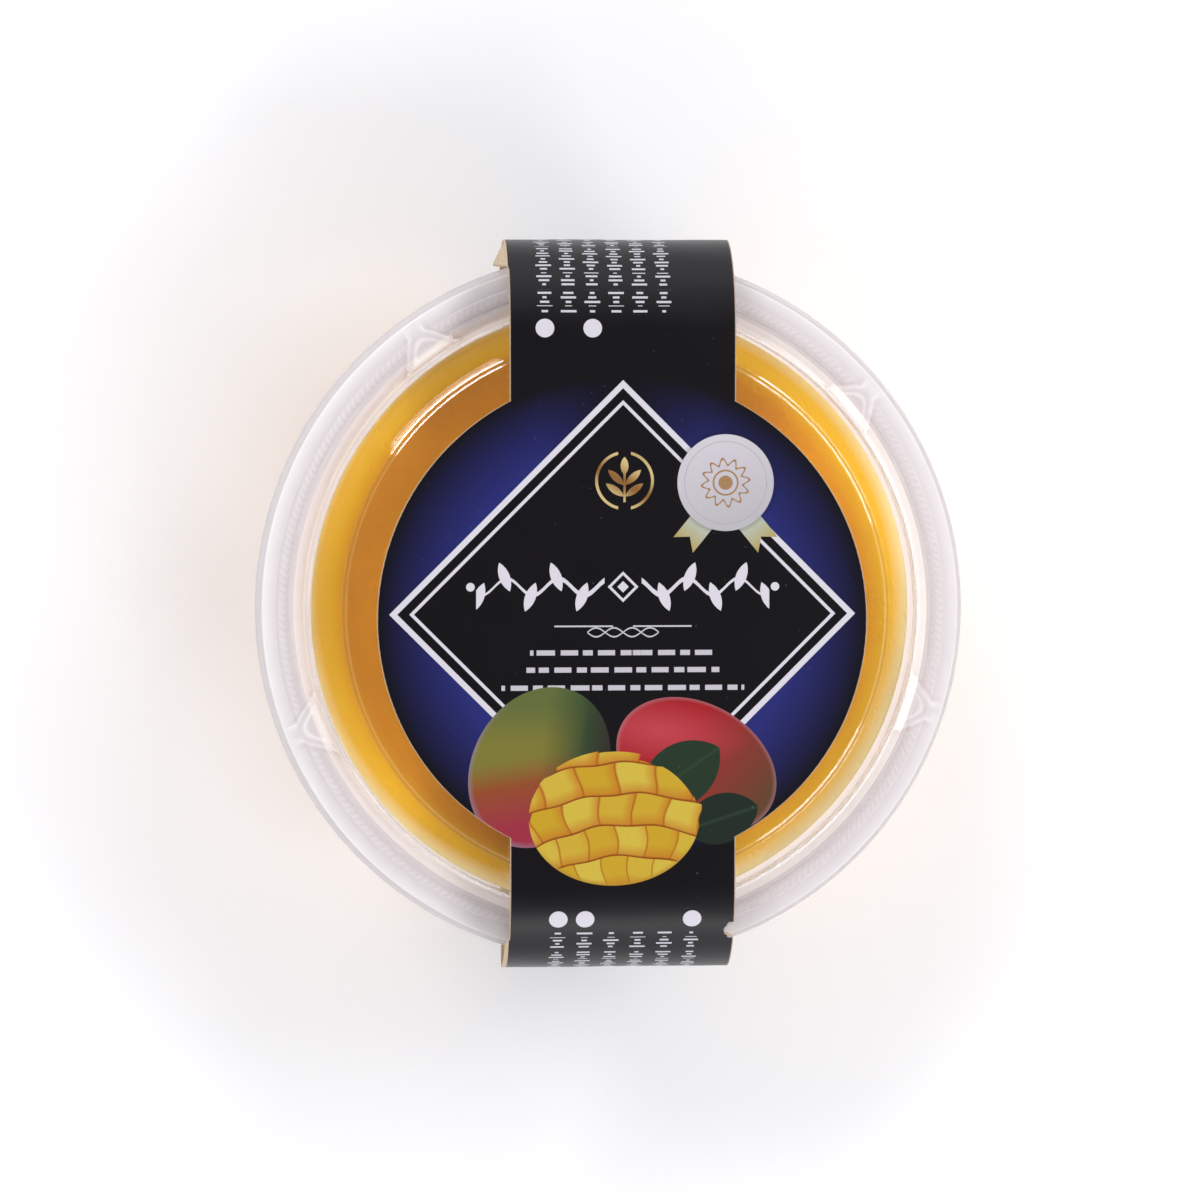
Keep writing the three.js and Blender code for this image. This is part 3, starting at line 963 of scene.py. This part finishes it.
def print_mangoes(paint, x, y):
    """A green-and-red mango on the left and a red one on the right, each an oval shaded from corner to
    corner, with two dark leaves before the right one."""
    green = oval(x, y, -11.7, -20.6, 11.7, 9.4, 62)
    ripe = y * 0.9 - x * 0.15
    skin = paint.mixed(ink(166, 52, 72), ink(156, 82, 46), ripe.rise(-24.0, -18.5))
    skin = paint.mixed(skin, ink(134, 128, 56), ripe.rise(-18.6, -15.2))
    skin = paint.mixed(skin, ink(104, 116, 62), y.rise(-17.5, -12.0))
    skin = paint.mixed(skin, ink(58, 78, 50), (x * 0.8 - y * 0.1).rise(-7.2, -2.4))
    skin = paint.mixed(skin, ink(52, 46, 42), (x * 0.8 - y * 0.1).rise(-3.2, 0.4))
    skin = paint.mixed(skin, ink(150, 136, 160), green.rise(-0.7, 0) * (x + y * 0.4).rise(-20, -28) * 0.6)
    paint.over(skin, green.inside())
    red = oval(x, y, 10.3, -20.4, 12.0, 8.6, -30)
    ripe = x * 0.8 - y * 0.6
    skin = paint.mixed(ink(176, 36, 44), ink(140, 60, 50), ripe.rise(17, 25))
    skin = paint.mixed(skin, ink(106, 70, 48), ripe.rise(25, 31))
    skin = paint.mixed(skin, ink(206, 76, 88), oval(x, y, 5.4, -15.6, 6.0, 2.2, -8).rise(2.4, -1.8) * 0.85)
    skin = paint.mixed(skin, ink(176, 132, 142), red.rise(-0.5, 0) * 0.5)
    paint.over(skin, red.inside())
    for base, tip, width, tone in (
        ((8.6, -29.6), (19.0, -26.2), 7.0, ink(34, 46, 38)),
        ((2.6, -25.6), (13.5, -17.9), 8.6, ink(40, 60, 44)),
    ):
        shape = leaf(x, y, base, tip, width)
        run = np.subtract(tip, base) / math.dist(tip, base)
        vein = abs((y - base[1]) * float(run[0]) - (x - base[0]) * float(run[1]))
        blade = paint.mixed(tone, ink(60, 88, 66), vein.rise(0.35, 0.0) * 0.4)
        paint.over(blade, shape.inside())


def print_cut_mango(paint, x, y):
    """A cut half, scored and turned out: rows of cubes bend round a point far below it. The cuts waver,
    each cube has its own tone and stands out of the outline by its own amount, and turns from yellow on
    top to orange down the side that faces the point."""
    fx, fy = 0.8, -58.0
    across = x + (y * 0.9 + 1.3).sine() * 0.3
    up = y + (x * 0.75 + y * 0.4).sine() * 0.18
    out = distance(across, up, fx, fy)
    turn = out.maths("ARCTAN2", across - fx, up - fy)
    row = (out - 20.5) / 4.35
    cube = turn * 6.6 + row.floor() * 0.43
    level = (cube.floor() * 2.4 + row.floor() * 1.7).sine()
    shape = oval(x, y, -1.2, -27.9, 11.95, 9.3, 2) - level * (y + 29).rise(0, 6) * 0.8
    up_row, over_cube = row.part(), cube.part()
    middle = abs(over_cube - 0.5)
    flesh = paint.mixed(ink(212, 170, 44), ink(222, 194, 74), level.rise(-0.8, 0.9))
    flesh = paint.mixed(flesh, ink(204, 118, 38), up_row.rise(0.42, 0.0) * 0.8)
    flesh = paint.mixed(flesh, ink(206, 122, 38), over_cube.rise(0.7, 1.0) * (y + 34).rise(0, 8) * 0.8)
    flesh = paint.mixed(flesh, ink(178, 92, 26), middle.rise(0.45, 0.5) * 0.85)
    flesh = paint.mixed(flesh, ink(142, 66, 20), up_row.rise(0.08, 0.03) * 0.9)
    paint.over(flesh, shape.inside())
    paint.over(ink(196, 150, 50), shape.rise(-0.6, 0.0) * shape.inside() * (y + 31).rise(0, -4))


def print_straps(paint, x, y):
    """Six columns of short bars of uneven width on both straps, where they go over the rim, some of them
    headed by a dot. Each row is the first column, their pitch, the dots' height, the way the columns run,
    and the columns with a dot."""
    for first, pitch, centre, way, dotted in (
        (-10.9, 3.33, 40.6, 1, (0, 2)),
        (-9.0, 3.76, -42.2, -1, (0, 1, 5)),
    ):
        for number in dotted:
            paint.over(WHITE, (distance(x, y, first + number * pitch, centre) - 1.3).inside())
        place = (x - first) / pitch
        number = (place + 0.5).floor()
        off = abs(place - number) * pitch
        away = (y - centre) * way
        bar = away / 0.68
        half = (number * 2.3 + bar.floor() * 1.9).sine() * 0.42 + 0.68
        strokes = (off - half).most(abs(bar.part() - 0.5) * 0.68 - 0.16)
        strokes = strokes.most(abs((away / 2.9).part() - 0.5) * 2.9 - 1.25)
        strokes = strokes.most(place - 5.4).most(-0.5 - place).most(1.9 - away).most(away - 30)
        paint.over(WHITE, strokes.inside() * 0.9)


def card_place(tree):
    """Where a point lies on the flat card: across, along, and 1 on the printed side or 0 inside."""
    card = tree.nodes.new("ShaderNodeAttribute")
    card.attribute_name = "card"
    return card.outputs["Vector"]


def card_grain(tree, place):
    """The fine clouds of the board's fibres."""
    return Field(tree, texture(tree, "ShaderNodeTexNoise", place, 3.0, Detail=3.0).outputs["Fac"])


def board_colour(paint, grain):
    """Bare board: tan, and browner where the fibres are dense."""
    return paint.mixed(BARE_CARD, ink(196, 170, 142), grain.rise(0.35, 0.7))


def finish_card(tree, shader, colour, rough, grain):
    """What print and bare board share: a low sheen and a faint relief of fibres."""
    tree.links.new(colour, shader.inputs["Base Color"])
    tree.links.new(rough.socket, shader.inputs["Roughness"])
    shader.inputs["Specular IOR Level"].default_value = 0.3
    bump(tree, grain.socket, 0.15, 0.00005, shader)


def bare_board():
    """The card's unprinted inside and its cut edges."""
    material, tree, shader, _ = new_material("bare_board")
    grain = card_grain(tree, card_place(tree))
    finish_card(tree, shader, board_colour(Paint(tree, BARE_CARD), grain), grain * 0.08 + 0.7, grain)
    return material


def printed_card():
    """Varnished card: ink by ink over white board, with bare board on its torn margin, and a little dust
    and rubbing."""
    material, tree, shader, _ = new_material("printed_card")
    place = card_place(tree)
    x, y, _ = apart(tree, place)
    paint, diamond = print_ground(tree, x, y)
    print_frame(paint, diamond)
    print_scroll(paint, x, y)
    print_rule(paint, x, y)
    print_lines(paint, x, y)
    print_emblem(paint, x, y)
    print_badge(paint, x, y)
    print_mangoes(paint, x, y)
    print_cut_mango(paint, x, y)
    print_straps(paint, x, y)
    edge_node = tree.nodes.new("ShaderNodeAttribute")
    edge_node.attribute_name = "edge"
    edge = Field(tree, edge_node.outputs["Fac"])
    grain = card_grain(tree, place)
    cells = texture(tree, "ShaderNodeTexVoronoi", place, 0.55)
    dust = Field(tree, cells.outputs["Distance"]).rise(0.09, 0.05) * grain.rise(0.5, 0.6)
    paint.over(ink(120, 118, 132), dust * 0.5)
    bare = (-STRAP_HALF - 0.02 - x).rise(0, 0.05) * (abs(y) - 40).rise(0, 1)
    bare = bare.most((edge - grain * 0.22).rise(0.06, 0.0) * 0.8)
    tear = (x - 13.9 - abs(y + 44.2) * 0.55 - grain * 0.6).rise(0.0, 0.15) * (abs(y + 44.2) - 1.4).inside()
    paint.over(ink(198, 196, 200), tear * 0.8)
    paint.over(board_colour(paint, grain), bare)
    finish_card(tree, shader, paint.colour, bare.times_plus(0.4, 0.3) + grain * 0.08, grain)
    return material


# ---------------------------------------------------------------- floor and light

FLOOR_HALF = 2000.0
FLOOR_Z = -0.05


def make_stage():
    """A plain white floor just below the part, a pale surround and four soft lamps."""
    mesh = bpy.data.meshes.new("floor")
    corners = [(-1, -1), (1, -1), (1, 1), (-1, 1)]
    spread = [(x * FLOOR_HALF * MM, y * FLOOR_HALF * MM, FLOOR_Z * MM) for x, y in corners]
    mesh.from_pydata(spread, [], [(0, 1, 2, 3)])
    floor = bpy.data.objects.new("floor", mesh)
    bpy.context.scene.collection.objects.link(floor)
    material, tree, shader, _ = new_material("floor_white")
    shader.inputs["Base Color"].default_value = (0.93, 0.93, 0.94, 1)
    shader.inputs["Roughness"].default_value = 0.9
    shader.inputs["Specular IOR Level"].default_value = 0.1
    mesh.materials.append(material)
    world = bpy.data.worlds.new("surround")
    world.use_nodes = True
    tree = world.node_tree
    _, _, height = apart(tree, tree.nodes.new("ShaderNodeTexCoord").outputs["Generated"])
    sky = Paint(tree, (1.38, 1.38, 1.43, 1)).over((0.08, 0.08, 0.085, 1), height.rise(0.38, 0.9))
    tree.links.new(sky.colour, tree.nodes["Background"].inputs["Color"])
    bpy.context.scene.world = world
    for name, azimuth, elevation, reach, width, height, power in (
        ("lamp_right", 33, 50, 0.8, 0.36, 0.1, 1.4),
        ("lamp_back_left", 127, 50, 0.8, 0.3, 0.1, 1.4),
        ("lamp_front", -40, 50, 0.8, 0.26, 0.1, 1.1),
        ("lamp_fill", -88, 32, 0.9, 0.5, 0.3, 1.1),
    ):
        data = bpy.data.lights.new(name, "AREA")
        data.shape, data.size, data.size_y, data.energy = "RECTANGLE", width, height, power
        lamp = bpy.data.objects.new(name, data)
        a, e = math.radians(azimuth), math.radians(elevation)
        way = Vector((math.cos(a) * math.cos(e), math.sin(a) * math.cos(e), math.sin(e)))
        lamp.location = way * reach
        lamp.rotation_mode = "QUATERNION"
        lamp.rotation_quaternion = way.to_track_quat("Z", "Y")
        bpy.context.scene.collection.objects.link(lamp)
    bpy.context.scene.view_settings.view_transform = "Standard"


# ---------------------------------------------------------------- the part

pudding_piece(pudding_material())
rim = clear_plastic("milky_rim", tint=(0.715, 0.685, 0.70, 1), milk=0.48, bend=1.05, haze=0.05,
                    dull_from=44.0, dull_to=51.0, shaded=True)
# The groove's copy of the milky plastic has a lighter, warmer tint than the rim's: painted light, for the
# light and the pudding's warm colour that reach the groove and the cup's neck.
groove = clear_plastic("milky_groove", tint=(0.92, 0.875, 0.855, 1), milk=0.49, bend=1.02, haze=0.05,
                       dull_from=43.0, dull_to=45.2, shaded=True)
cup_clear = clear_plastic("clear_cup", tint=(0.96, 0.94, 0.95, 1), milk=0.08, bend=1.1, haze=0.05,
                          dull_from=20.0, dull_to=60.0)
cup_piece(cup_clear, groove)
lid_clear = clear_plastic("clear_lid", tint=(0.99, 0.985, 0.99, 1), milk=0.0, bend=1.1, haze=0.02,
                          dull_from=38.55, dull_to=43.4)
lid_piece(lid_clear, groove, rim)
sleeve_piece(printed_card(), bare_board())
make_stage()
